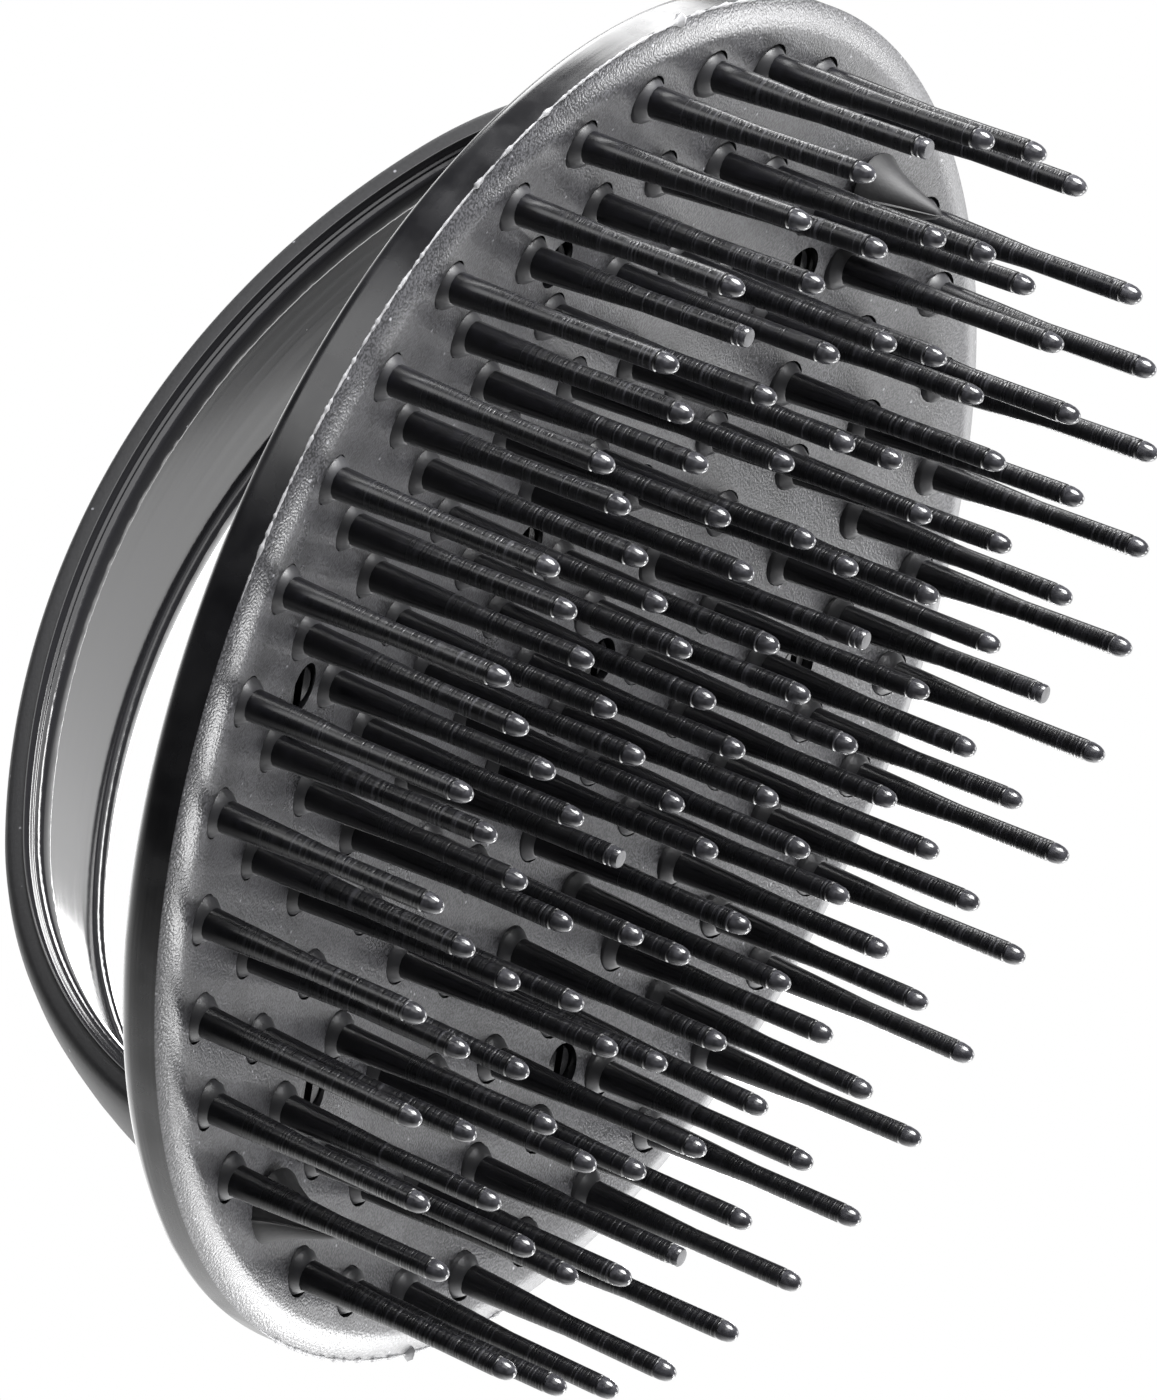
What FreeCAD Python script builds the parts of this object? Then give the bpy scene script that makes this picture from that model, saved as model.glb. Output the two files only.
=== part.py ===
"""Shampoo brush: a dished round plate full of pins, closed by a back cover and held by a loop handle.

Lengths are in millimetres. +Z is up, the loop is on top and the brush stands on the tips of its outer
pins. The origin is on that surface, under the middle of the plate. X runs along the span of the loop.
"""
import FreeCAD, Part
import math
import os

V = FreeCAD.Vector
UP = V(0, 0, 1)
ACROSS = V(0, 1, 0)

# Plate
disc_diameter = 80.0
rim_width = 2.0
rear_edge_bevel = 0.8
dish_radius = 170.0
face_thickness = 1.5

# Pins
ring_count = 6
pins_per_step = 6
ring_margin = 2.0
pin_length = 14.1
collar_height = 0.55
collar_diameter = 2.8
socket_floor = 0.7
shaft_diameter = 1.85
neck_diameter = 1.22
tip_length = 0.9
taper_share = 0.48
pin_sides = 4
pin_clearance = 0.1

# Back cover and its slotted pegs
cover_thickness = 1.45
seat_clearance = 0.05
cover_clearance = 0.1
peg_diameter = 2.4
peg_sides = 8
peg_slot_width = 0.9
peg_slot_depth = 1.4
peg_slot_turn = -45.0
peg_recess = 0.25
peg_clearance = 0.1
inner_peg_count = 3
inner_peg_pitch_share = 1.33
outer_peg_count = 6
outer_peg_pitch_share = 4.6

# Loop handle
foot_inset = 2.0
loop_rise = 24.4
haunch_share = 0.87
band_width = 12.6
band_edge = 2.0
band_crown = 0.9
band_flat_share = 0.55
bead_width = 2.1
bead_height = 0.5
bead_bevel = 0.3
stem_diameter = 2.0
stem_sides = 8
stem_clearance = 0.15
stem_bury = 0.6
barb_diameter = 4.5
barb_gap = 0.2
barb_length = 4.6
barb_waist_diameter = 2.6
barb_waist_share = 0.42

# One overrun serves every cut
overrun = 1.0

disc_radius = disc_diameter / 2
field_radius = disc_radius - rim_width
outer_ring_radius = field_radius - ring_margin
ring_pitch = outer_ring_radius / ring_count
foot_radius = outer_ring_radius - foot_inset
root_depth = face_thickness - socket_floor
cover_front = face_thickness + seat_clearance
wall_height = cover_front + cover_thickness


def dome_drop(radius, sphere_radius):
    """How far a dome of this sphere has come down at a radius from its middle."""
    return sphere_radius - math.sqrt(sphere_radius ** 2 - radius ** 2)


# The outer ring of tips rests at Z = 0, so the middle of the face follows from the pins and the dish
face_middle = pin_length + collar_height + dome_drop(outer_ring_radius, dish_radius)
dish_centre = face_middle - dish_radius


def face_level(radius):
    """Height of the plate's face at a radius."""
    return face_middle - dome_drop(radius, dish_radius)


def shell_level(radius, offset):
    """Height of the dome that lies an offset behind the face."""
    sphere = dish_radius + offset
    return dish_centre + sphere - dome_drop(radius, sphere)


def corners(x, y, level, diameter, sides):
    """Corners of a regular section with the area of a round one."""
    corner = 2 * math.pi / sides
    spread = diameter / 2 * math.sqrt(corner / math.sin(corner))
    turns = [corner * side for side in range(sides)]
    return [V(x + spread * math.cos(turn), y + spread * math.sin(turn), level) for turn in turns]


def flat_face(points):
    return Part.Face(Part.makePolygon(points + points[:1]))


def stacked(sections, point=None):
    """Solid with flat sides through a stack of sections, which ends flat or in a point."""
    faces = [flat_face(sections[0])]
    sides = len(sections[0])
    for side in range(sides):
        after = (side + 1) % sides
        for one, other in zip(sections, sections[1:]):
            faces.append(flat_face([one[side], one[after], other[after], other[side]]))
        if point:
            faces.append(flat_face([sections[-1][side], sections[-1][after], point]))
    if not point:
        faces.append(flat_face(sections[-1]))
    return Part.Solid(Part.Shell(faces))


def upright(x, y, bottom, top, diameter, sides):
    return stacked([corners(x, y, level, diameter, sides) for level in (bottom, top)])


def ball(offset):
    """Sphere that lies an offset behind the face, with its poles and seam off the plate."""
    sphere = Part.makeSphere(dish_radius + offset, V(0, 0, 0), UP)
    sphere.rotate(V(0, 0, 0), ACROSS, 90)
    sphere.translate(V(0, 0, dish_centre))
    return sphere


def dome(radius, front, rear):
    """Part of the shell between two domes, out to a radius."""
    reach = 2 * radius
    core = Part.makeCylinder(radius, reach, V(0, 0, face_middle - radius), UP)
    return core.common(ball(rear)).cut(ball(front))


def ring_places(ring):
    """Pin places of one ring. Odd rings are turned half a pitch, and the feet take two outer places."""
    if ring == 0:
        return [(0.0, 0.0)]
    count = pins_per_step * ring
    radius = ring_pitch * ring
    places = []
    for place in range(count):
        at_foot = ring == ring_count and place in (0, count // 2)
        if at_foot:
            continue
        turn = 2 * math.pi * (place + (ring % 2) / 2) / count
        places.append((radius * math.cos(turn), radius * math.sin(turn)))
    return places


def peg_places():
    """Places of the cover's pegs, in the gaps between the pins."""
    circles = [(inner_peg_pitch_share, inner_peg_count), (outer_peg_pitch_share, outer_peg_count)]
    places = []
    for pitch_share, count in circles:
        radius = ring_pitch * pitch_share
        for peg in range(count):
            turn = 2 * math.pi * peg / count
            places.append((radius * math.cos(turn), radius * math.sin(turn)))
    return places


def make_pin(x, y):
    """One pin: root in its socket, collar, tapering shaft, straight neck and pointed tip."""
    face = face_level(math.hypot(x, y))
    collar = face - collar_height
    end = collar - pin_length
    neck = collar - pin_length * taper_share
    levels = [
        (face + root_depth, collar_diameter),
        (collar, collar_diameter),
        (collar, shaft_diameter),
        (neck, neck_diameter),
        (end + tip_length, neck_diameter),
    ]
    return stacked([corners(x, y, level, size, pin_sides) for level, size in levels], V(x, y, end))


def make_pins(ring):
    return Part.makeCompound([make_pin(x, y) for x, y in ring_places(ring)])


def pin_socket(x, y):
    """Cutter for a pin's blind socket in the plate."""
    face = face_level(math.hypot(x, y))
    floor = face + root_depth + seat_clearance
    return upright(x, y, face - overrun, floor, collar_diameter + 2 * pin_clearance, pin_sides)


def through_hole(x, y, diameter, sides):
    face = face_level(math.hypot(x, y))
    return upright(x, y, face - overrun, face + wall_height + overrun, diameter, sides)


def foot_places():
    return [(foot_radius, 0.0), (-foot_radius, 0.0)]


def make_base_plate():
    """Dished face, flat border and side wall in one piece, with its holes."""
    front = face_level(field_radius)
    rear = front + wall_height
    corner = disc_radius - rear_edge_bevel
    profile = [
        V(field_radius, 0, front),
        V(disc_radius, 0, front),
        V(disc_radius, 0, rear - rear_edge_bevel),
        V(corner, 0, rear),
        V(field_radius, 0, rear),
    ]
    wall = flat_face(profile).revolve(V(0, 0, 0), UP, 360)
    body = wall.fuse(dome(field_radius, 0, face_thickness))
    holes = [pin_socket(x, y) for ring in range(ring_count + 1) for x, y in ring_places(ring)]
    holes += [through_hole(x, y, peg_diameter + 2 * peg_clearance, peg_sides) for x, y in peg_places()]
    holes += [through_hole(x, y, stem_diameter + 2 * stem_clearance, stem_sides) for x, y in foot_places()]
    return body.cut(Part.makeCompound(holes))


def make_peg(x, y):
    """Slotted peg that reaches from the cover through the plate to just behind its face."""
    radius = math.hypot(x, y)
    bottom = face_level(radius) + peg_recess
    top = shell_level(radius, (face_thickness + wall_height) / 2)
    peg = upright(x, y, bottom, top, peg_diameter, peg_sides)
    length = peg_diameter + 2 * overrun
    height = peg_slot_depth + overrun
    slot = Part.makeBox(length, peg_slot_width, height, V(-length / 2, -peg_slot_width / 2, -overrun))
    slot.rotate(V(0, 0, 0), UP, peg_slot_turn)
    slot.translate(V(x, y, bottom))
    return peg.cut(slot)


def make_back_cover():
    """Domed cover inside the plate's wall, with its pegs."""
    holes = [through_hole(x, y, stem_diameter + 2 * stem_clearance, stem_sides) for x, y in foot_places()]
    shell = dome(field_radius - cover_clearance, cover_front, wall_height)
    body = shell.cut(Part.makeCompound(holes))
    return body.fuse([make_peg(x, y) for x, y in peg_places()])


def band_section(top):
    """Section of the band where it crosses the middle, crowned outside and beaded inside."""
    side = band_width / 2
    channel = side - bead_width
    half_section = [
        V(0, side * band_flat_share, top + band_edge + band_crown),
        V(0, side, top + band_edge),
        V(0, side, top + bead_bevel),
        V(0, side - bead_bevel, top),
        V(0, channel + bead_bevel, top),
        V(0, channel, top + bead_bevel),
        V(0, channel, top + bead_height),
    ]
    other_half = [V(0, -point.y, point.z) for point in reversed(half_section)]
    return flat_face(half_section + other_half)


def make_band():
    """Arch of a flat middle arc and two tighter end arcs, tangent to each other, that lands over the feet."""
    spring = shell_level(foot_radius, wall_height)
    half_span = foot_radius - (bead_height + band_edge + band_crown) / 2
    haunch = loop_rise * haunch_share
    reach = half_span - haunch
    crown = (reach ** 2 + loop_rise ** 2 - haunch ** 2) / (2 * (loop_rise - haunch))
    middle = V(0, 0, spring + loop_rise - crown)
    half_turn = math.degrees(math.atan2(reach, crown - loop_rise))
    end_turn = 90 - half_turn + math.degrees(overrun / haunch)
    arcs = []
    for way in (1, -1):
        section = band_section(spring + loop_rise)
        arcs.append(section.revolve(middle, ACROSS, way * half_turn))
        section.rotate(middle, ACROSS, way * half_turn)
        arcs.append(section.revolve(V(way * reach, 0, spring), ACROSS, way * end_turn))
    band = arcs[0].fuse(arcs[1:]).removeSplitter()
    return band.cut(ball(wall_height + seat_clearance))


def make_foot(x, y):
    """Stem through the cover and the plate, with a pointed barb on the pin side."""
    face = face_level(foot_radius)
    rim = face - barb_gap
    tip = rim - barb_length
    waist = rim - barb_length * barb_waist_share
    top = shell_level(foot_radius, wall_height) + stem_bury
    levels = [(rim, barb_diameter), (waist, barb_waist_diameter)]
    barb = stacked([corners(x, y, level, size, stem_sides) for level, size in levels], V(x, y, tip))
    return barb.fuse(upright(x, y, rim, top, stem_diameter, stem_sides))


def make_loop_handle():
    return make_band().fuse([make_foot(x, y) for x, y in foot_places()])


def main():
    os.makedirs("parts", exist_ok=True)
    nodes = {
        "base_plate": make_base_plate(),
        "back_cover": make_back_cover(),
        "loop_handle": make_loop_handle(),
        "centre_pin": make_pins(0),
    }
    for ring in range(1, ring_count + 1):
        nodes["pins_ring_%d" % ring] = make_pins(ring)
    for name, shape in nodes.items():
        shape.exportStep("parts/%s.step" % name)
        print(name, "solids", len(shape.Solids), "volume", round(shape.Volume, 2), "valid", shape.isValid())


main()
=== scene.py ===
"""Looks of the shampoo brush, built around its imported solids.

Shapes are worked out in millimetres in the part's own frame and turned to metres when a piece is finished.
"""
import math

import bmesh
import bpy
from mathutils import Matrix, Quaternion, Vector, noise


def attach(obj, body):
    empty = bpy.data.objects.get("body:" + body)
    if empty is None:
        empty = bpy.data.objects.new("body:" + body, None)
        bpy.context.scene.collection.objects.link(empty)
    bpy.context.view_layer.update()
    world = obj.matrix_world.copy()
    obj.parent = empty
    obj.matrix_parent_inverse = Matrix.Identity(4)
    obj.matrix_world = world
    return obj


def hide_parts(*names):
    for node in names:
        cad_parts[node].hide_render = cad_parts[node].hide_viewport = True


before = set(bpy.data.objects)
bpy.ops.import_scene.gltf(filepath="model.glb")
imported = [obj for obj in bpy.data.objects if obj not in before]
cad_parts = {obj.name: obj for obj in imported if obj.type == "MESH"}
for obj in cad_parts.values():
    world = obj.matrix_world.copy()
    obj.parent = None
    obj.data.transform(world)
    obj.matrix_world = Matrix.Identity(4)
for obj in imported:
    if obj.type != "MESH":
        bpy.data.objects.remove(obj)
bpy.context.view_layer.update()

MM = 0.001
PER_MM = 1000.0

# Plate
disc_radius = 40.0
field_radius = 38.0
dish_radius = 170.0
face_thickness = 1.5
wall_height = 3.0
wall_row_shares = (0.2, 0.5)
rear_edge_radius = 0.9
rear_edge_steps = 8
border_slope = 0.42
border_width = 1.5
edge_round = 0.05
face_steps = 20
back_steps = 6
plate_segments = 320
plate_smooth_angle = 30.0
pin_side_slope = -0.25
drill_overrun = 1.0

# Flash on the plate's front edge: first and last angle of each stretch and angle of its gate stub, in degrees
flash_stretches = ((68.0, 148.0, 133.5), (310.0, 352.0, 326.0))
flash_steps_per_degree = 6
flash_sides = 6
flash_smooth_angle = 50.0
flash_thin = 0.02
flash_swell = 0.16
flash_lift = 0.45
flash_flatness = 0.7
flash_fade_steps = 20
wave_per_mm = 1.1
tear_per_mm = 4.0
tear_share = 0.6
tear_row = 5.0
gate_swell = 0.4
gate_half_width = 0.9

# Pins
ring_count = 6
pins_per_step = 6
outer_ring_radius = 36.0
ring_pitch = outer_ring_radius / ring_count
pin_length = 14.1
pin_segments = 14
root_depth = 0.7
collar_height = 0.55
collar_radius = 1.4
collar_bevel_width = 0.03
collar_bevel_height = 0.08
collar_cone_radius = 1.02
collar_finish_margin = 0.05
shaft_radius = 0.93
shaft_fillet = 0.06
half_taper_radius = 0.79
neck_radius = 0.62
taper_share = 0.48
nose_finish_length = 1.1
socket_radius = 1.45
socket_depth = 0.85
socket_segments = 20
rim_lean = math.radians(1.1)
pin_scatter = math.radians(0.7)
cut_nose_share = 0.08

# Noses from the groove to the end, as radius and distance from where a round nose ends
round_nose = ((0.615, 1.24), (0.55, 1.19), (0.54, 1.14), (0.595, 1.07), (0.59, 0.84), (0.53, 0.5), (0.41, 0.25),
              (0.24, 0.07), (0.0, 0.0))
cut_nose = ((0.615, 1.32), (0.555, 1.28), (0.545, 1.24), (0.59, 1.18), (0.585, 0.98), (0.54, 0.94), (0.535, 0.9),
            (0.575, 0.84), (0.565, 0.62), (0.5, 0.52), (0.0, 0.5))

# Back cover and its split pegs
cover_gap = 0.1
cover_seat = 0.05
cover_edge = 0.25
cover_edge_round = 0.07
cover_steps = 16
cover_inside_steps = 4
cover_segments = 160
peg_radius = 1.2
peg_hole_radius = 1.42
peg_hole_segments = 24
peg_slot_half = 0.42
peg_recess = 0.3
peg_foot = 1.6
peg_edge = 0.12
peg_slot_turn = math.radians(-45)
prong_steps = 8
inner_peg_count = 3
inner_peg_circle = 8.0
outer_peg_count = 6
outer_peg_circle = 27.6

# Loop handle
foot_radius = 34.0
loop_rise = 24.4
haunch = 21.23
web_middle = 1.7
loop_lean = -1.1
band_half = 6.3
bead_width = 2.1
bead_height = 0.5
band_edge = 2.0
band_crown = 0.9
band_steps = 300
band_seat = 0.03
least_end_turn = math.pi / 4
most_end_turn = math.pi * 0.55
end_turn_halvings = 30
part_line_level = 0.95
worn_lines = ((4.25, 4.5), (5.55, 5.7))
worn_depth = 0.03
worn_per_mm = 3.5

# Stretches of the band's section, as steps across and up from the channel's edge, the parting line or the edge
channel_edge = ((-0.3, 0.0), (-0.08, 0.0), (0.0, -0.06))
bead_flank = ((0.01, 0.3), (0.06, 0.17), (0.15, 0.07), (0.26, 0.015), (0.36, 0.0), (0.8, 0.04), (1.15, 0.1),
              (1.3, 0.14), (1.42, 0.22), (1.48, 0.32), (1.5, 0.37), (1.52, 0.54), (1.54, 0.57), (1.66, 0.59),
              (1.68, 0.62), (1.7, 0.74), (1.72, 0.77), (1.88, 0.79), (1.92, 0.82))
part_ridge = ((-0.06, -0.06), (0.1, -0.03), (0.1, 0.03))
ridge_foot = (-0.06, 0.07)
band_shoulder = ((-0.08, -0.3), (-0.2, 0.0), (-0.55, 0.28))
# The crown of the section, as shares of half the width and heights over the edge
band_top = ((0.75, 0.58), (0.5, 0.8), (0.25, band_crown * 0.97), (0.0, band_crown))

# Feet of the loop
stem_radius = 1.0
stem_bury = 0.4
foot_shift = 0.35
barb_radius = 2.25
barb_gap = 0.2
barb_length = 4.6
barb_segments = 96
barb_neck = 0.25
barb_bevel_width = 0.15
barb_bevel_height = 0.12
barb_lip_share = 0.97
barb_lip_height = 0.2
mould_line_height = 0.1
mould_line_steps = (12, 60)
# The barb's hollow side, as shares of its length and radius
barb_side = ((0.15, 0.8), (0.3, 0.64), (0.45, 0.5), (0.62, 0.37), (0.8, 0.24), (0.93, 0.14))

# Levels that follow from the pins standing on the floor
dish_drop = dish_radius - math.sqrt(dish_radius ** 2 - outer_ring_radius ** 2)
face_middle = pin_length + collar_height + dish_drop
dish_centre = face_middle - dish_radius


def dome_level(radius, offset=0.0):
    """Height of the dome that lies an offset behind the pin face."""
    return dish_centre + math.sqrt((dish_radius + offset) ** 2 - radius ** 2)


border_level = dome_level(field_radius)
edge_level = border_level + border_slope

# Arch of the loop along the bead's crest: a middle arc and two tighter end arcs, tangent to each other
spring = dome_level(foot_radius, wall_height)
arch_reach = foot_radius - web_middle - haunch
arch_crown = (arch_reach ** 2 + loop_rise ** 2 - haunch ** 2) / (2 * (loop_rise - haunch))
arch_turn = math.atan2(arch_reach, arch_crown - loop_rise)


# Small tools

def linear(code):
    """Linear colour of an sRGB hex value."""
    parts = [int(code[at:at + 2], 16) / 255 for at in (1, 3, 5)]
    return [p / 12.92 if p <= 0.04045 else ((p + 0.055) / 1.055) ** 2.4 for p in parts] + [1.0]


def feed(tree, node, inputs):
    """Put values or other nodes' outputs on a node's inputs."""
    for socket, value in inputs.items():
        if isinstance(value, bpy.types.NodeSocket):
            tree.links.new(value, node.inputs[socket])
        else:
            node.inputs[socket].default_value = value


def add(tree, kind, inputs=None, stops=(), **settings):
    """One node, with its inputs, its settings and, on a colour ramp, its stops of place and grey or colour."""
    made = tree.nodes.new(kind)
    for name, value in settings.items():
        setattr(made, name, value)
    feed(tree, made, inputs or {})
    if stops:
        elements = made.color_ramp.elements
        while len(elements) < len(stops):
            elements.new(0.5)
        for element, (place, tone) in zip(elements, stops):
            element.position = place
            element.color = tone if isinstance(tone, list) else (tone, tone, tone, 1.0)
    return made


def new_material(name):
    """Material of a name, with its tree and its surface node."""
    made = bpy.data.materials.new(name)
    made.use_nodes = True
    tree = made.node_tree
    return made, tree, tree.nodes["Principled BSDF"]


def show(name, mesh, materials, smooth_angle=35.0):
    """Object of a finished mesh, turned to metres, smooth but for its sharp edges."""
    mesh.transform(Matrix.Scale(MM, 4))
    mesh.shade_smooth()
    mesh.set_sharp_from_angle(angle=math.radians(smooth_angle))
    for material in materials:
        mesh.materials.append(material)
    made = bpy.data.objects.new(name, mesh)
    bpy.context.collection.objects.link(made)
    return made


def bridge(bm, rows):
    """Faces between closed rows of corners. A row of a single corner closes an end."""
    for one, other in zip(rows, rows[1:]):
        count = max(len(one), len(other))
        for step in range(count):
            after = (step + 1) % count
            corners = [one[step % len(one)], one[after % len(one)],
                       other[after % len(other)], other[step % len(other)]]
            bm.faces.new(list(dict.fromkeys(corners)))


def lathe(bm, outline, segments, place=(0.0, 0.0), swell=None):
    """Turn an outline of radius and height about an upright axis. Points on the axis close the ends."""
    rows = []
    for radius, height in outline:
        if radius == 0:
            rows.append([bm.verts.new((place[0], place[1], height))])
            continue
        row = []
        for step in range(segments):
            turn = 2 * math.pi * step / segments
            reach = radius + (swell(step, height) if swell else 0.0)
            row.append(bm.verts.new((place[0] + reach * math.cos(turn),
                                     place[1] + reach * math.sin(turn), height)))
        rows.append(row)
    bridge(bm, rows)
    return rows


def dome_outline(reach, offset, steps):
    """Outline of a dome that lies an offset behind the pin face, evenly spaced from near its middle to a reach."""
    return [(reach * at / steps, dome_level(reach * at / steps, offset)) for at in range(1, steps + 1)]


def to_mesh(name, bm):
    """Mesh of a finished shape, with its faces pointing outwards."""
    bmesh.ops.recalc_face_normals(bm, faces=bm.faces)
    mesh = bpy.data.meshes.new(name)
    bm.to_mesh(mesh)
    bm.free()
    return mesh


helpers = []


def helper(name, bm):
    """Object that a tree copies from, removed again before the end."""
    made = bpy.data.objects.new(name, to_mesh(name, bm))
    made.data.shade_smooth()
    bpy.context.collection.objects.link(made)
    helpers.append(made)
    return made


# Materials. Patterns are counted per millimetre, and depths of relief are in millimetres.

abs_and_nylon_ior = 1.53
polypropylene_ior = 1.5


def grained_abs():
    """Black ABS moulded against a spark-eroded tool: sandy, and pale grey where light skims over it."""
    grit_per_mm, cloud_per_mm, dust_per_mm, grit_depth = 7.5, 0.09, 0.8, 0.022
    made, tree, skin = new_material("abs_moulded_sandy_grain")
    place = add(tree, "ShaderNodeTexCoord").outputs["Object"]
    grit = add(tree, "ShaderNodeTexNoise", {"Vector": place, "Scale": grit_per_mm * PER_MM, "Detail": 0.0})
    cloud = add(tree, "ShaderNodeTexNoise", {"Vector": place, "Scale": cloud_per_mm * PER_MM, "Detail": 3.0})
    speck = add(tree, "ShaderNodeTexVoronoi", {"Vector": place, "Scale": dust_per_mm * PER_MM})
    dust = add(tree, "ShaderNodeValToRGB", {"Fac": speck.outputs["Distance"]}, [(0.05, 1.0), (0.09, 0.0)])
    tone = add(tree, "ShaderNodeValToRGB", {"Fac": grit.outputs["Fac"]},
               [(0.35, linear("#29292b")), (0.65, linear("#4d4d50"))])
    pale = add(tree, "ShaderNodeMix", {0: dust.outputs["Color"], 6: tone.outputs["Color"], 7: linear("#8c8c90")},
               data_type="RGBA")
    rough = add(tree, "ShaderNodeValToRGB", {"Fac": cloud.outputs["Fac"]}, [(0.3, 0.26), (0.7, 0.36)])
    bump = add(tree, "ShaderNodeBump", {"Height": grit.outputs["Fac"], "Strength": 1.0,
                                        "Distance": grit_depth * MM})
    feed(tree, skin, {"Base Color": pale.outputs[2], "Roughness": rough.outputs["Color"],
                      "Normal": bump.outputs["Normal"], "IOR": abs_and_nylon_ior})
    return made


def polished_abs():
    """Black ABS moulded against a polished tool: near black, with clear soft reflections and faint drag lines."""
    wear_per_mm, drag_depth = 0.35, 0.03
    drag_per_mm = Vector((0.12, 0.12, 4.0))
    made, tree, skin = new_material("abs_moulded_polished")
    place = add(tree, "ShaderNodeTexCoord").outputs["Object"]
    wear = add(tree, "ShaderNodeTexNoise", {"Vector": place, "Scale": wear_per_mm * PER_MM, "Detail": 4.0})
    stretched = add(tree, "ShaderNodeMapping", {"Vector": place, "Scale": drag_per_mm * PER_MM})
    drag = add(tree, "ShaderNodeTexNoise", {"Vector": stretched.outputs["Vector"], "Scale": 1.0, "Detail": 2.0})
    tone = add(tree, "ShaderNodeValToRGB", {"Fac": wear.outputs["Fac"]},
               [(0.35, linear("#0d0d0f")), (0.7, linear("#161618"))])
    rough = add(tree, "ShaderNodeValToRGB", {"Fac": wear.outputs["Fac"]}, [(0.35, 0.2), (0.75, 0.34)])
    bump = add(tree, "ShaderNodeBump", {"Height": drag.outputs["Fac"], "Strength": 0.15,
                                        "Distance": drag_depth * MM})
    feed(tree, skin, {"Base Color": tone.outputs["Color"], "Roughness": rough.outputs["Color"],
                      "Normal": bump.outputs["Normal"], "IOR": abs_and_nylon_ior})
    return made


def etched_plastic(name, dark, light):
    """Plastic with a fine even tooth: one quiet tone between two, with a broad dull sheen."""
    etch_per_mm, cloud_per_mm, etch_depth = 5.0, 0.12, 0.03
    made, tree, skin = new_material(name)
    place = add(tree, "ShaderNodeTexCoord").outputs["Object"]
    etch = add(tree, "ShaderNodeTexNoise", {"Vector": place, "Scale": etch_per_mm * PER_MM, "Detail": 2.0})
    cloud = add(tree, "ShaderNodeTexNoise", {"Vector": place, "Scale": cloud_per_mm * PER_MM, "Detail": 3.0})
    tone = add(tree, "ShaderNodeValToRGB", {"Fac": cloud.outputs["Fac"]},
               [(0.3, linear(dark)), (0.7, linear(light))])
    rough = add(tree, "ShaderNodeValToRGB", {"Fac": cloud.outputs["Fac"]}, [(0.3, 0.4), (0.7, 0.5)])
    bump = add(tree, "ShaderNodeBump", {"Height": etch.outputs["Fac"], "Strength": 0.2,
                                        "Distance": etch_depth * MM})
    feed(tree, skin, {"Base Color": tone.outputs["Color"], "Roughness": rough.outputs["Color"],
                      "Normal": bump.outputs["Normal"], "IOR": abs_and_nylon_ior})
    return made


def pin_nylon():
    """Black nylon pins: glossy, with fine rings round the outer part of the shaft left by drawing it from its mould,
    their crests painted lighter as painted glints.
    """
    # The rings are drawn coarser than they are, so that they show, and fade in between two heights over the floor
    rings_per_mm = Vector((0.06, 0.06, 8.5))
    rings_start, rings_full = 13.0, 8.5
    scuff_per_mm, ring_depth = 2.0, 0.012
    made, tree, skin = new_material("nylon_moulded_gloss")
    place = add(tree, "ShaderNodeTexCoord").outputs["Object"]
    stretched = add(tree, "ShaderNodeMapping", {"Vector": place, "Scale": rings_per_mm * PER_MM})
    rings = add(tree, "ShaderNodeTexNoise", {"Vector": stretched.outputs["Vector"], "Scale": 1.0, "Detail": 1.0})
    scuff = add(tree, "ShaderNodeTexNoise", {"Vector": place, "Scale": scuff_per_mm * PER_MM, "Detail": 3.0})
    worn = add(tree, "ShaderNodeValToRGB", {"Fac": scuff.outputs["Fac"]},
               [(0.4, linear("#08080a")), (0.75, linear("#121216"))])
    level = add(tree, "ShaderNodeSeparateXYZ", {0: place}).outputs["Z"]
    drawn = add(tree, "ShaderNodeMapRange", {"Value": level, "From Min": rings_start * MM,
                                             "From Max": rings_full * MM}).outputs[0]
    # The rings' crests are painted lighter in the base colour: painted glints on real rings, over the nylon's own dark
    # tone
    line = add(tree, "ShaderNodeValToRGB", {"Fac": rings.outputs["Fac"]}, [(0.63, 0.0), (0.7, 1.0)])
    crest = add(tree, "ShaderNodeMath", {0: line.outputs["Color"], 1: drawn}, operation="MULTIPLY").outputs[0]
    tone = add(tree, "ShaderNodeMix", {0: crest, 6: worn.outputs["Color"], 7: linear("#303034")}, data_type="RGBA")
    ridge = add(tree, "ShaderNodeValToRGB", {"Fac": rings.outputs["Fac"]}, [(0.3, 0.0), (0.7, 1.0)])
    ridges = add(tree, "ShaderNodeMath", {0: ridge.outputs["Color"], 1: drawn}, operation="MULTIPLY").outputs[0]
    rough = add(tree, "ShaderNodeValToRGB", {"Fac": ridges}, [(0.0, 0.25), (1.0, 0.36)])
    bump = add(tree, "ShaderNodeBump", {"Height": ridges, "Strength": 1.0, "Distance": ring_depth * MM})
    feed(tree, skin, {"Base Color": tone.outputs[2], "Roughness": rough.outputs["Color"],
                      "Normal": bump.outputs["Normal"], "IOR": abs_and_nylon_ior})
    return made


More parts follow.
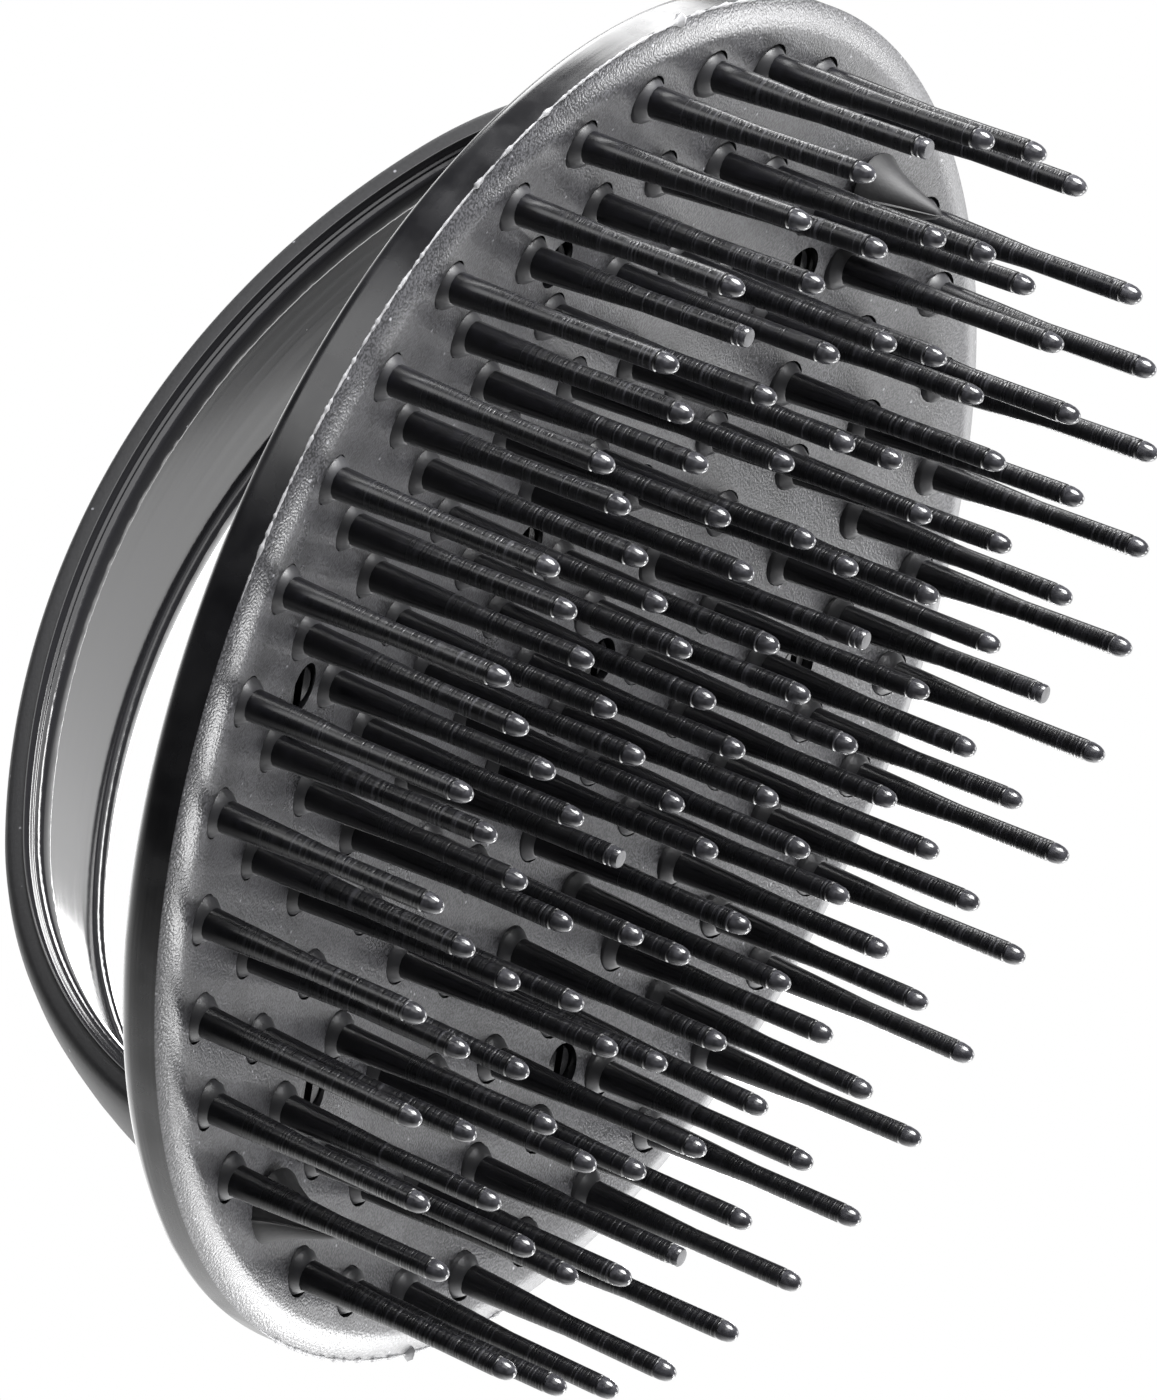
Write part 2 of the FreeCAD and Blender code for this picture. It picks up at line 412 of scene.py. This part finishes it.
def nose_nylon():
    """The same nylon at the noses: smooth, with clear highlights, its tone painted lighter than the shaft's as a
    painted grey sheen.
    """
    scuff_per_mm, scuff_depth = 2.5, 0.04
    made, tree, skin = new_material("nylon_tip_rounded_polished")
    place = add(tree, "ShaderNodeTexCoord").outputs["Object"]
    scuff = add(tree, "ShaderNodeTexNoise", {"Vector": place, "Scale": scuff_per_mm * PER_MM, "Detail": 2.0})
    # Lighter than the shaft's nylon: a painted grey sheen on the noses, varied at random by the scuff noise
    tone = add(tree, "ShaderNodeValToRGB", {"Fac": scuff.outputs["Fac"]},
               [(0.35, linear("#28282b")), (0.7, linear("#3e3e42"))])
    rough = add(tree, "ShaderNodeValToRGB", {"Fac": scuff.outputs["Fac"]}, [(0.35, 0.15), (0.7, 0.22)])
    bump = add(tree, "ShaderNodeBump", {"Height": scuff.outputs["Fac"], "Strength": 0.1,
                                        "Distance": scuff_depth * MM})
    feed(tree, skin, {"Base Color": tone.outputs["Color"], "Roughness": rough.outputs["Color"],
                      "Normal": bump.outputs["Normal"], "IOR": abs_and_nylon_ior})
    return made


def strap_gloss():
    """Black flexible polypropylene from a polished tool: dark grey gloss with soft lengthwise streaks."""
    streaks_per_mm = Vector((0.05, 2.2, 0.05))
    dust_per_mm, streak_depth = 0.35, 0.02
    made, tree, skin = new_material("polypropylene_moulded_gloss")
    place = add(tree, "ShaderNodeTexCoord").outputs["Object"]
    stretched = add(tree, "ShaderNodeMapping", {"Vector": place, "Scale": streaks_per_mm * PER_MM})
    streak = add(tree, "ShaderNodeTexNoise", {"Vector": stretched.outputs["Vector"], "Scale": 1.0, "Detail": 3.0})
    speck = add(tree, "ShaderNodeTexVoronoi", {"Vector": place, "Scale": dust_per_mm * PER_MM})
    dust = add(tree, "ShaderNodeValToRGB", {"Fac": speck.outputs["Distance"]}, [(0.012, 1.0), (0.022, 0.0)])
    pale = add(tree, "ShaderNodeMix", {0: dust.outputs["Color"], 6: linear("#1d1d1f"), 7: linear("#9a9a9c")},
               data_type="RGBA")
    rough = add(tree, "ShaderNodeValToRGB", {"Fac": streak.outputs["Fac"]}, [(0.35, 0.12), (0.7, 0.18)])
    bump = add(tree, "ShaderNodeBump", {"Height": streak.outputs["Fac"], "Strength": 0.05,
                                        "Distance": streak_depth * MM})
    feed(tree, skin, {"Base Color": pale.outputs[2], "Roughness": rough.outputs["Color"],
                      "Normal": bump.outputs["Normal"], "IOR": polypropylene_ior})
    return made


def strap_matt():
    """The same polypropylene where the tool was etched: matt near black with small pale specks."""
    etch_per_mm, dust_per_mm, etch_depth = 4.5, 0.7, 0.04
    made, tree, skin = new_material("polypropylene_moulded_matt")
    place = add(tree, "ShaderNodeTexCoord").outputs["Object"]
    etch = add(tree, "ShaderNodeTexNoise", {"Vector": place, "Scale": etch_per_mm * PER_MM, "Detail": 3.0})
    speck = add(tree, "ShaderNodeTexVoronoi", {"Vector": place, "Scale": dust_per_mm * PER_MM})
    dust = add(tree, "ShaderNodeValToRGB", {"Fac": speck.outputs["Distance"]}, [(0.05, 1.0), (0.08, 0.0)])
    tone = add(tree, "ShaderNodeValToRGB", {"Fac": etch.outputs["Fac"]},
               [(0.35, linear("#111113")), (0.7, linear("#1b1b1d"))])
    pale = add(tree, "ShaderNodeMix", {0: dust.outputs["Color"], 6: tone.outputs["Color"], 7: linear("#6c6c70")},
               data_type="RGBA")
    bump = add(tree, "ShaderNodeBump", {"Height": etch.outputs["Fac"], "Strength": 0.3,
                                        "Distance": etch_depth * MM})
    feed(tree, skin, {"Base Color": pale.outputs[2], "Roughness": 0.62, "Normal": bump.outputs["Normal"],
                      "IOR": polypropylene_ior})
    return made


face_finish = grained_abs()
wall_finish = polished_abs()
# Black ABS from a finely etched tool: dark and even
cover_finish = etched_plastic("abs_moulded_satin", "#1b1b1c", "#232325")
# ABS squeezed thin between the mould halves: dull, whitened where thin, and painted paler still as a painted highlight
# along the front edge
flash_finish = etched_plastic("abs_flash_whitened_and_painted_highlight", "#6c6c6e", "#a0a0a2")
# Black nylon from a finely etched tool: dark grey and dull
collar_finish = etched_plastic("nylon_moulded_satin", "#28282a", "#313134")
pin_finish = pin_nylon()
nose_finish = nose_nylon()
strap_finish = strap_gloss()
strap_outside_finish = strap_matt()


# Trees

def ring_tree():
    """Copies of a shape round a circle, leaning outwards a little, no two quite alike; a share takes a second shape."""
    tree = bpy.data.node_groups.new("ring_of_copies", "GeometryNodeTree")
    sockets = tree.interface
    for name, kind in (("Shape", "Object"), ("Cut shape", "Object"), ("Places", "Int"), ("Start", "Float"),
                       ("Radius", "Float"), ("Level", "Float"), ("Lean", "Float"), ("Scatter", "Float"),
                       ("Cut share", "Float"), ("Leave feet", "Bool"), ("Seed", "Int"), ("Finish", "Material"),
                       ("Collar finish", "Material"), ("Nose finish", "Material")):
        sockets.new_socket(name, in_out="INPUT", socket_type="NodeSocket" + kind)
    sockets.new_socket("Geometry", in_out="OUTPUT", socket_type="NodeSocketGeometry")
    given = add(tree, "NodeGroupInput").outputs

    # Places round the circle
    index = add(tree, "GeometryNodeInputIndex").outputs["Index"]
    place = add(tree, "ShaderNodeMath", {0: index, 1: given["Start"]}, operation="ADD").outputs[0]
    share = add(tree, "ShaderNodeMath", {0: place, 1: given["Places"]}, operation="DIVIDE").outputs[0]
    turn = add(tree, "ShaderNodeMath", {0: share, 1: 2 * math.pi}, operation="MULTIPLY").outputs[0]
    cosine = add(tree, "ShaderNodeMath", {0: turn}, operation="COSINE").outputs[0]
    sine = add(tree, "ShaderNodeMath", {0: turn}, operation="SINE").outputs[0]
    across = add(tree, "ShaderNodeMath", {0: cosine, 1: given["Radius"]}, operation="MULTIPLY").outputs[0]
    along = add(tree, "ShaderNodeMath", {0: sine, 1: given["Radius"]}, operation="MULTIPLY").outputs[0]
    spot = add(tree, "ShaderNodeCombineXYZ", {"X": across, "Y": along, "Z": given["Level"]}).outputs[0]
    points = add(tree, "GeometryNodePoints", {"Count": given["Places"], "Position": spot}).outputs[0]

    # The loop's feet take the first place and the one opposite
    half = add(tree, "ShaderNodeMath", {0: given["Places"], 1: 2.0}, operation="DIVIDE").outputs[0]
    remainder = add(tree, "ShaderNodeMath", {0: index, 1: half}, operation="MODULO").outputs[0]
    at_foot = add(tree, "ShaderNodeMath", {0: remainder, 1: 0.5}, operation="LESS_THAN").outputs[0]
    taken = add(tree, "ShaderNodeMath", {0: at_foot, 1: given["Leave feet"]}, operation="MULTIPLY").outputs[0]
    kept = add(tree, "GeometryNodeDeleteGeometry", {"Geometry": points, "Selection": taken}).outputs[0]

    # Lean outwards, and a small stray lean for each copy
    tilt_x = add(tree, "ShaderNodeMath", {0: sine, 1: given["Lean"]}, operation="MULTIPLY").outputs[0]
    tilt_y = add(tree, "ShaderNodeMath", {0: cosine, 1: given["Lean"]}, operation="MULTIPLY").outputs[0]
    back_y = add(tree, "ShaderNodeMath", {0: tilt_y, 1: -1.0}, operation="MULTIPLY").outputs[0]
    lean = add(tree, "ShaderNodeCombineXYZ", {"X": tilt_x, "Y": back_y}).outputs[0]
    stray = add(tree, "FunctionNodeRandomValue", {0: (-1.0, -1.0, 0.0), 1: (1.0, 1.0, 0.0), "Seed": given["Seed"]},
                data_type="FLOAT_VECTOR").outputs[0]
    small = add(tree, "ShaderNodeVectorMath", {0: stray, "Scale": given["Scatter"]}, operation="SCALE").outputs[0]
    turned = add(tree, "ShaderNodeVectorMath", {0: lean, 1: small}, operation="ADD").outputs[0]

    # Copies of both shapes, made real and finished
    is_cut = add(tree, "FunctionNodeRandomValue", {"Probability": given["Cut share"], "Seed": given["Seed"]},
                 data_type="BOOLEAN").outputs[3]
    is_whole = add(tree, "FunctionNodeBooleanMath", {0: is_cut}, operation="NOT").outputs[0]
    both = add(tree, "GeometryNodeJoinGeometry")
    for name, chosen in (("Shape", is_whole), ("Cut shape", is_cut)):
        shape = add(tree, "GeometryNodeObjectInfo", {"Object": given[name], "As Instance": True})
        copies = add(tree, "GeometryNodeInstanceOnPoints",
                     {"Points": kept, "Selection": chosen, "Instance": shape.outputs["Geometry"], "Rotation": turned})
        tree.links.new(copies.outputs[0], both.inputs[0])
    real = add(tree, "GeometryNodeRealizeInstances", {"Geometry": both.outputs[0]}).outputs[0]
    coated = add(tree, "GeometryNodeSetMaterial", {"Geometry": real, "Material": given["Finish"]}).outputs[0]
    for zone in ("collar", "nose"):
        chosen = add(tree, "GeometryNodeInputNamedAttribute", {"Name": zone}, data_type="INT").outputs[0]
        finish = given[zone.capitalize() + " finish"]
        coated = add(tree, "GeometryNodeSetMaterial",
                     {"Geometry": coated, "Selection": chosen, "Material": finish}).outputs[0]
    add(tree, "NodeGroupOutput", {"Geometry": coated})
    return tree


def grow(name, tree, values, mesh=None):
    """Plain mesh that a tree makes from its named values."""
    maker = bpy.data.objects.new(name, mesh or bpy.data.meshes.new(name))
    bpy.context.collection.objects.link(maker)
    modifier = maker.modifiers.new(name, "NODES")
    modifier.node_group = tree
    for item in tree.interface.items_tree:
        if item.in_out == "INPUT" and item.name in values:
            modifier[item.identifier] = values[item.name]
    bpy.context.view_layer.update()
    ready = maker.evaluated_get(bpy.context.evaluated_depsgraph_get())
    made = bpy.data.meshes.new_from_object(ready)
    bpy.data.objects.remove(maker)
    made.name = name
    return made


ring = ring_tree()


def ring_values(number):
    """Count, start and level of one ring of pins; odd rings are turned half a pitch."""
    radius = ring_pitch * number
    return {
        "Places": max(1, pins_per_step * number),
        "Start": 0.5 * (number % 2),
        "Radius": radius,
        "Level": dome_level(radius),
        "Lean": rim_lean * number / ring_count,
        "Leave feet": number == ring_count,
        "Seed": number,
    }


def peg_values():
    """The two circles of pegs."""
    circles = ((inner_peg_count, inner_peg_circle), (outer_peg_count, outer_peg_circle))
    return [{"Places": count, "Radius": radius, "Level": dome_level(radius)} for count, radius in circles]


# Pins

def pin_outline(nose):
    """Radius and height from root to tip: coned collar, taper, straight neck and a nose."""
    end = collar_height + pin_length
    neck = collar_height + taper_share * pin_length
    outline = [
        (0.0, root_depth),
        (collar_radius, root_depth),
        (collar_radius, 0.0),
        (collar_radius - collar_bevel_width, -collar_bevel_height),
        (collar_cone_radius, -collar_height),
        (shaft_radius, -collar_height - shaft_fillet),
        (half_taper_radius, -0.5 * (neck + collar_height)),
        (neck_radius, -neck),
    ]
    return outline + [(radius, -end + rest) for radius, rest in nose]


def pin_shape(name, nose):
    """One pin under the face, with its collar and nose marked for their own finishes."""
    bm = bmesh.new()
    lathe(bm, pin_outline(nose), pin_segments)
    collar_mark = bm.faces.layers.int.new("collar")
    nose_mark = bm.faces.layers.int.new("nose")
    for made in bm.faces:
        level = made.calc_center_median().z
        made[collar_mark] = level > -collar_height - collar_finish_margin
        made[nose_mark] = level < -collar_height - pin_length + nose_finish_length
    return helper(name, bm)


round_pin = pin_shape("round_pin", round_nose)
cut_pin = pin_shape("cut_pin", cut_nose)
for number in range(ring_count + 1):
    node = "pins_ring_%d" % number if number else "centre_pin"
    values = dict(ring_values(number), Shape=round_pin, Finish=pin_finish, Scatter=pin_scatter)
    values.update({"Cut shape": cut_pin, "Cut share": cut_nose_share, "Collar finish": collar_finish,
                   "Nose finish": nose_finish})
    pins = show(node + "_moulded", grow(node, ring, values), [])
    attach(pins, "root")
    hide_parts(node)


# Plate

def plate_blank():
    """Dished face, sloping border, polished wall with a rounded rear edge, and the seat of the cover."""
    rear = border_level + wall_height
    outline = [(0.0, dome_level(0.0))] + dome_outline(field_radius, 0.0, face_steps)
    outline += [(disc_radius - border_width, border_level), (disc_radius - edge_round, edge_level),
                (disc_radius, edge_level + edge_round)]
    outline += [(disc_radius, border_level + wall_height * share) for share in wall_row_shares]
    for step in range(rear_edge_steps + 1):
        turn = math.pi / 2 * step / rear_edge_steps
        outline.append((disc_radius - rear_edge_radius * (1 - math.cos(turn)),
                        rear - rear_edge_radius * (1 - math.sin(turn))))
    outline.append((field_radius, rear))
    outline += reversed(dome_outline(field_radius, face_thickness, back_steps))
    outline.append((0.0, dome_level(0.0, face_thickness)))
    bm = bmesh.new()
    lathe(bm, outline, plate_segments)
    return to_mesh("plate_blank", bm)


def flash_size(degrees, gate, fade):
    """Half the width of the flash at an angle along the edge, where it is ragged and swells at its gate stub."""
    length = disc_radius * math.radians(degrees)
    wave = noise.noise(Vector((wave_per_mm * length, 0.0, 0.0)))
    tear = noise.noise(Vector((tear_per_mm * length, tear_row, 0.0)))
    ragged = wave + tear_share * tear
    stub = max(0.0, 1 - abs(degrees - gate) / gate_half_width)
    return flash_thin + flash_swell * fade * max(0.0, flash_lift + ragged) + gate_swell * stub


def make_flash():
    """Ragged bead squeezed out where the mould halves met, in two stretches of the front edge with a gate stub each."""
    bm = bmesh.new()
    for first, last, gate in flash_stretches:
        steps = round((last - first) * flash_steps_per_degree)
        rows = []
        for step in range(steps + 1):
            degrees = first + (last - first) * step / steps
            turn = math.radians(degrees)
            fade = min(1.0, step / flash_fade_steps, (steps - step) / flash_fade_steps)
            size = flash_size(degrees, gate, fade)
            row = []
            for side in range(flash_sides):
                way = 2 * math.pi * side / flash_sides
                reach = disc_radius - edge_round + size * math.cos(way)
                row.append(bm.verts.new((reach * math.cos(turn), reach * math.sin(turn),
                                         edge_level + flash_flatness * size * math.sin(way))))
            rows.append(row)
        bridge(bm, rows)
        bm.faces.new(rows[0])
        bm.faces.new(rows[-1])
    return show("plate_flash", to_mesh("plate_flash", bm), [flash_finish], flash_smooth_angle)


def drill(name, radius, depth, segments):
    """Cutter for a round socket or hole of a depth behind the face."""
    bm = bmesh.new()
    lathe(bm, [(0.0, depth), (radius, depth), (radius, -drill_overrun), (0.0, -drill_overrun)], segments)
    return helper(name, bm)


def plate_tree(cuts):
    """Drill rings of holes in a blank, then finish the pin side and the rest differently."""
    tree = bpy.data.node_groups.new("drilled_plate", "GeometryNodeTree")
    sockets = tree.interface
    for name, kind in (("Geometry", "Geometry"), ("Pin side finish", "Material"), ("Wall finish", "Material")):
        sockets.new_socket(name, in_out="INPUT", socket_type="NodeSocket" + kind)
    sockets.new_socket("Geometry", in_out="OUTPUT", socket_type="NodeSocketGeometry")
    given = add(tree, "NodeGroupInput").outputs
    bores = add(tree, "GeometryNodeJoinGeometry")
    for values in cuts:
        made = add(tree, "GeometryNodeGroup", node_tree=ring)
        feed(tree, made, values)
        tree.links.new(made.outputs[0], bores.inputs[0])
    cut = add(tree, "GeometryNodeMeshBoolean", {"Mesh 1": given["Geometry"], "Mesh 2": bores.outputs[0]},
              operation="DIFFERENCE", solver="EXACT").outputs["Mesh"]
    real = add(tree, "GeometryNodeRealizeInstances", {"Geometry": cut}).outputs[0]
    coated = add(tree, "GeometryNodeSetMaterial", {"Geometry": real, "Material": given["Wall finish"]}).outputs[0]
    slope = add(tree, "ShaderNodeSeparateXYZ", {0: add(tree, "GeometryNodeInputNormal").outputs[0]}).outputs["Z"]
    down = add(tree, "ShaderNodeMath", {0: slope, 1: pin_side_slope}, operation="LESS_THAN").outputs[0]
    grained = add(tree, "GeometryNodeSetMaterial",
                  {"Geometry": coated, "Selection": down, "Material": given["Pin side finish"]}).outputs[0]
    add(tree, "NodeGroupOutput", {"Geometry": grained})
    return tree


def make_plate():
    """Plate with a socket for each pin and a hole for each peg and each foot of the loop."""
    socket = drill("socket_drill", socket_radius, socket_depth, socket_segments)
    bore = drill("peg_drill", peg_hole_radius, wall_height, peg_hole_segments)
    cuts = [dict(ring_values(number), Shape=socket, Lean=0.0) for number in range(ring_count + 1)]
    cuts += [dict(values, Shape=bore) for values in peg_values()]
    cuts.append({"Places": 2, "Radius": foot_radius, "Level": dome_level(foot_radius), "Shape": bore})
    finishes = {"Pin side finish": face_finish, "Wall finish": wall_finish}
    mesh = grow("plate", plate_tree(cuts), finishes, plate_blank())
    return show("plate_moulded", mesh, [], plate_smooth_angle)


plate = make_plate()
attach(plate, "root")
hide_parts("base_plate")
flash = make_flash()
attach(flash, "root")


# Back cover

def make_cover():
    """Domed cover sunk in the plate's wall, its edge slightly rounded."""
    reach = field_radius - cover_gap
    rim = dome_level(reach, wall_height)
    outline = [(0.0, dome_level(0.0, wall_height))]
    outline += dome_outline(reach - cover_edge, wall_height, cover_steps)
    outline += [(reach - cover_edge_round, rim - cover_edge_round), (reach, rim - cover_edge)]
    front = face_thickness + cover_seat
    outline += reversed(dome_outline(reach, front, cover_inside_steps))
    outline.append((0.0, dome_level(0.0, front)))
    bm = bmesh.new()
    lathe(bm, outline, cover_segments)
    return show("back_cover_moulded", to_mesh("back_cover", bm), [cover_finish])


def split_peg():
    """Two half-round prongs either side of a slot."""
    bm = bmesh.new()
    start = math.asin(peg_slot_half / peg_radius)
    outline = ((peg_radius, peg_foot), (peg_radius, peg_recess + peg_edge), (peg_radius - peg_edge, peg_recess))
    for side in (0.0, math.pi):
        turns = [start + (math.pi - 2 * start) * step / prong_steps + side + peg_slot_turn
                 for step in range(prong_steps + 1)]
        rows = []
        for reach, level in outline:
            rows.append([bm.verts.new((reach * math.cos(turn), reach * math.sin(turn), level)) for turn in turns])
        bridge(bm, rows)
        bm.faces.new(rows[0])
        bm.faces.new(rows[-1])
    return helper("split_peg", bm)


cover = make_cover()
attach(cover, "root")
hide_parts("back_cover")
prongs = split_peg()
for number, values in enumerate(peg_values(), 1):
    pegs = show("cover_pegs_%d" % number, grow("pegs", ring, dict(values, Shape=prongs, Finish=wall_finish)), [])
    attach(pegs, "root")


# Loop handle

def band_section():
    """Glossy inside and matt outside of half the band's section: distance across and height over the bead's crest."""
    inside = band_half - bead_width
    glossy = [(0.0, bead_height), (inside * 0.5, bead_height)]
    glossy += [(inside + over, bead_height + up) for over, up in channel_edge]
    glossy += [(inside + over, up) for over, up in bead_flank]
    glossy += [(band_half + over, part_line_level + up) for over, up in part_ridge]
    matt = [(band_half + ridge_foot[0], part_line_level + ridge_foot[1])]
    matt += [(band_half + over, band_edge + up) for over, up in band_shoulder]
    matt += [(band_half * share, band_edge + up) for share, up in band_top]
    return glossy, matt


def arch_point(turn, height, side):
    """Place along the span and level of the arch, at a turn from its top and a height over the bead's crest."""
    if turn <= arch_turn:
        centre, radius = (0.0, spring + loop_rise - arch_crown), arch_crown
    else:
        centre, radius = (arch_reach, spring), haunch
    across = centre[0] + (radius + height) * math.sin(turn)
    level = centre[1] + (radius + height) * math.cos(turn)
    return side * across, level


def end_turn(across, height):
    """Turn at which a lengthwise line of the band meets the back, found by halving."""
    low, high = least_end_turn, most_end_turn
    seat = dish_radius + wall_height + band_seat
    for halving in range(end_turn_halvings):
        middle = (low + high) / 2
        x, z = arch_point(middle, height, 1)
        inside = x ** 2 + across ** 2 + (z - dish_centre) ** 2 < seat ** 2
        low, high = (low, middle) if inside else (middle, high)
    return low


def make_band(bm):
    """Arched band, leaning a little along its span, with uneven lines worn along its beads."""
    glossy, matt = band_section()
    half = glossy + matt
    section = half + [(-across, height) for across, height in reversed(half[1:-1])]
    rows = []
    for across, height in section:
        limit = end_turn(across, height)
        row = []
        for step in range(-band_steps, band_steps + 1):
            turn = limit * abs(step) / band_steps
            x, z = arch_point(turn, height, -1 if step < 0 else 1)
            lean = loop_lean * max(0.0, z - spring) / loop_rise
            if any(low < abs(across) < high for low, high in worn_lines):
                z += worn_depth * noise.noise(Vector((worn_per_mm * x, worn_per_mm * across, worn_per_mm * z)))
            row.append(bm.verts.new((x + lean, across, z)))
        rows.append(row)
    count = len(section)
    for at in range(count):
        one, other = rows[at], rows[(at + 1) % count]
        is_matt = len(glossy) <= at < count - len(glossy)
        for step in range(2 * band_steps):
            made = bm.faces.new([one[step], one[step + 1], other[step + 1], other[step]])
            made.material_index = 1 if is_matt else 0
    for end in (0, -1):
        bm.faces.new([row[end] for row in rows])


def make_foot(bm, side):
    """Stem through the plate and a hollow-sided barb with a mould line down each side."""
    x = side * foot_radius + foot_shift
    face = dome_level(foot_radius)
    rim = face - barb_gap
    tip = rim - barb_length
    top = spring + stem_bury
    outline = [
        (0.0, top),
        (stem_radius, top),
        (stem_radius, rim + barb_neck),
        (barb_radius - barb_bevel_width, rim + barb_bevel_height),
        (barb_radius, rim),
        (barb_radius * barb_lip_share, rim - barb_lip_height),
    ]
    outline += [(barb_radius * width, rim - barb_length * share) for share, width in barb_side]
    outline.append((0.0, tip))

    def mould_line(step, height):
        return mould_line_height if step in mould_line_steps and tip < height < rim else 0.0

    for row in lathe(bm, outline, barb_segments, (x, 0.0), mould_line):
        for corner in row:
            for made in corner.link_faces:
                made.material_index = 1


def make_loop():
    """Band and both feet in one piece."""
    bm = bmesh.new()
    make_band(bm)
    for side in (1, -1):
        make_foot(bm, side)
    return show("loop_handle_moulded", to_mesh("loop_handle", bm), [strap_finish, strap_outside_finish])


loop = make_loop()
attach(loop, "root")
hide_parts("loop_handle")


# Stage, light and camera

camera_place = Vector((167.82, 513.67, -263.91)) * MM
camera_aim = Vector((4.74, 11.98, 8.0)) * MM
camera_roll = math.radians(67.84)
camera_lens = 282.39
camera_film = 36.0
camera_near = 0.01
floor_half = 0.6
light_aim = Vector((0.0, 0.0, 15.0)) * MM

# The studio's glow: its brightest side, the cosine from there at which it begins, and its dim and bright ends.
# A belt of it is dimmer, given as stops of height, from 0 below to 1 above, and share of the glow.
bright_side = Vector((0.4, -0.9, 0.1)).normalized()
glow_begin = 0.1
glow_dim = 0.07
glow_bright = 4.3
dim_belt = ((0.45, 1.0), (0.67, 0.3), (0.75, 0.3), (0.8, 1.0))

# Softboxes: direction from the brush, distance and width in metres, and brightness, where white is 1
softboxes = (
    ("key_softbox", (-0.81, 0.57, -0.15), 0.45, 0.33, 34.0),
    ("left_softbox", (-0.2, 0.865, 0.458), 0.45, 0.23, 3.2),
    ("front_softbox", (-0.275, 0.95, -0.13), 0.45, 0.3, 2.6),
    ("back_softbox", (0.06, -0.5, -0.865), 0.34, 0.15, 17.0),
    ("crown_softbox", (-0.63, -0.57, -0.53), 0.4, 0.15, 12.0),
    ("top_softbox", (-0.8, -0.12, 0.6), 0.45, 0.24, 8.0),
)

# Small softboxes close to the brush: place and aim in millimetres, width in metres and power in watts
near_softboxes = (
    ("channel_softbox", (-4.0, -80.0, 50.0), (-12.0, -25.0, 21.0), 0.05, 0.055),
    ("low_softbox", (38.0, -126.0, -52.0), (38.0, 0.0, 13.0), 0.055, 0.09),
)


def make_camera():
    """Camera that was fitted to the photograph."""
    lens = bpy.data.cameras.new("photo_view")
    lens.lens = camera_lens
    lens.sensor_fit = "AUTO"
    lens.sensor_width = camera_film
    lens.clip_start = camera_near
    made = bpy.data.objects.new("photo_view", lens)
    made.location = camera_place
    made.rotation_mode = "QUATERNION"
    level_turn = (camera_aim - camera_place).normalized().to_track_quat("-Z", "Y")
    made.rotation_quaternion = level_turn @ Quaternion((0.0, 0.0, 1.0), -camera_roll)
    bpy.context.collection.objects.link(made)
    bpy.context.scene.camera = made


def make_floor():
    """Pale floor that shows and takes shadows from above and lets the view from below through."""
    bm = bmesh.new()
    corners = ((-1, -1), (1, -1), (1, 1), (-1, 1))
    bm.faces.new([bm.verts.new((x * floor_half, y * floor_half, 0.0)) for x, y in corners])
    mesh = bpy.data.meshes.new("floor")
    bm.to_mesh(mesh)
    bm.free()
    made, tree, skin = new_material("floor_painted_pale")
    feed(tree, skin, {"Base Color": linear("#f4f4f4"), "Roughness": 0.9})
    under = add(tree, "ShaderNodeNewGeometry").outputs["Backfacing"]
    clear = add(tree, "ShaderNodeBsdfTransparent").outputs[0]
    mixed = add(tree, "ShaderNodeMixShader", {0: under, 1: skin.outputs[0], 2: clear}).outputs[0]
    feed(tree, tree.nodes["Material Output"], {"Surface": mixed})
    mesh.materials.append(made)
    floor = bpy.data.objects.new("floor", mesh)
    floor.visible_diffuse = False
    floor.visible_glossy = False
    floor.visible_transmission = False
    floor.visible_shadow = False
    bpy.context.collection.objects.link(floor)


def make_world():
    """White studio: bright behind the brush but for a dimmer belt, and dim before it; the camera itself sees white."""
    world = bpy.data.worlds.new("studio")
    bpy.context.scene.world = world
    world.use_nodes = True
    tree = world.node_tree
    tree.nodes.clear()
    towards = add(tree, "ShaderNodeTexCoord").outputs["Generated"]
    facing = add(tree, "ShaderNodeVectorMath", {0: towards, 1: bright_side}, operation="DOT_PRODUCT")
    glow = add(tree, "ShaderNodeMapRange", {"Value": facing.outputs["Value"], "From Min": glow_begin, "From Max": 1.0,
                                            "To Min": glow_dim, "To Max": glow_bright}).outputs[0]
    height = add(tree, "ShaderNodeSeparateXYZ", {0: towards}).outputs["Z"]
    share = add(tree, "ShaderNodeMath", {0: height, 1: 0.5, 2: 0.5}, operation="MULTIPLY_ADD").outputs[0]
    belt = add(tree, "ShaderNodeValToRGB", {"Fac": share}, dim_belt).outputs["Color"]
    belted = add(tree, "ShaderNodeMath", {0: glow, 1: belt}, operation="MULTIPLY").outputs[0]
    seen = add(tree, "ShaderNodeLightPath").outputs["Is Camera Ray"]
    strength = add(tree, "ShaderNodeMix", {0: seen, 2: belted, 3: 1.0}, data_type="FLOAT").outputs[0]
    sky = add(tree, "ShaderNodeBackground", {"Color": (1.0, 1.0, 1.0, 1.0), "Strength": strength}).outputs[0]
    add(tree, "ShaderNodeOutputWorld", {"Surface": sky})


def make_lamp(name, place, aim, size, power):
    """Round area lamp at a place, turned to its aim."""
    light = bpy.data.lights.new(name, "AREA")
    light.shape = "DISK"
    light.size = size
    light.energy = power
    made = bpy.data.objects.new(name, light)
    made.location = place
    made.rotation_mode = "QUATERNION"
    made.rotation_quaternion = (aim - place).to_track_quat("-Z", "Y")
    bpy.context.collection.objects.link(made)


make_camera()
make_floor()
make_world()
for name, way, distance, size, brightness in softboxes:
    # A lamp of brightness 1 gives pi watts for each square metre of its disk
    power = brightness * math.pi * math.pi * (size / 2) ** 2
    make_lamp(name, light_aim + Vector(way).normalized() * distance, light_aim, size, power)
for name, place, aim, size, power in near_softboxes:
    make_lamp(name, Vector(place) * MM, Vector(aim) * MM, size, power)

bpy.context.scene.view_settings.view_transform = "Standard"
for made in helpers:
    bpy.data.objects.remove(made)
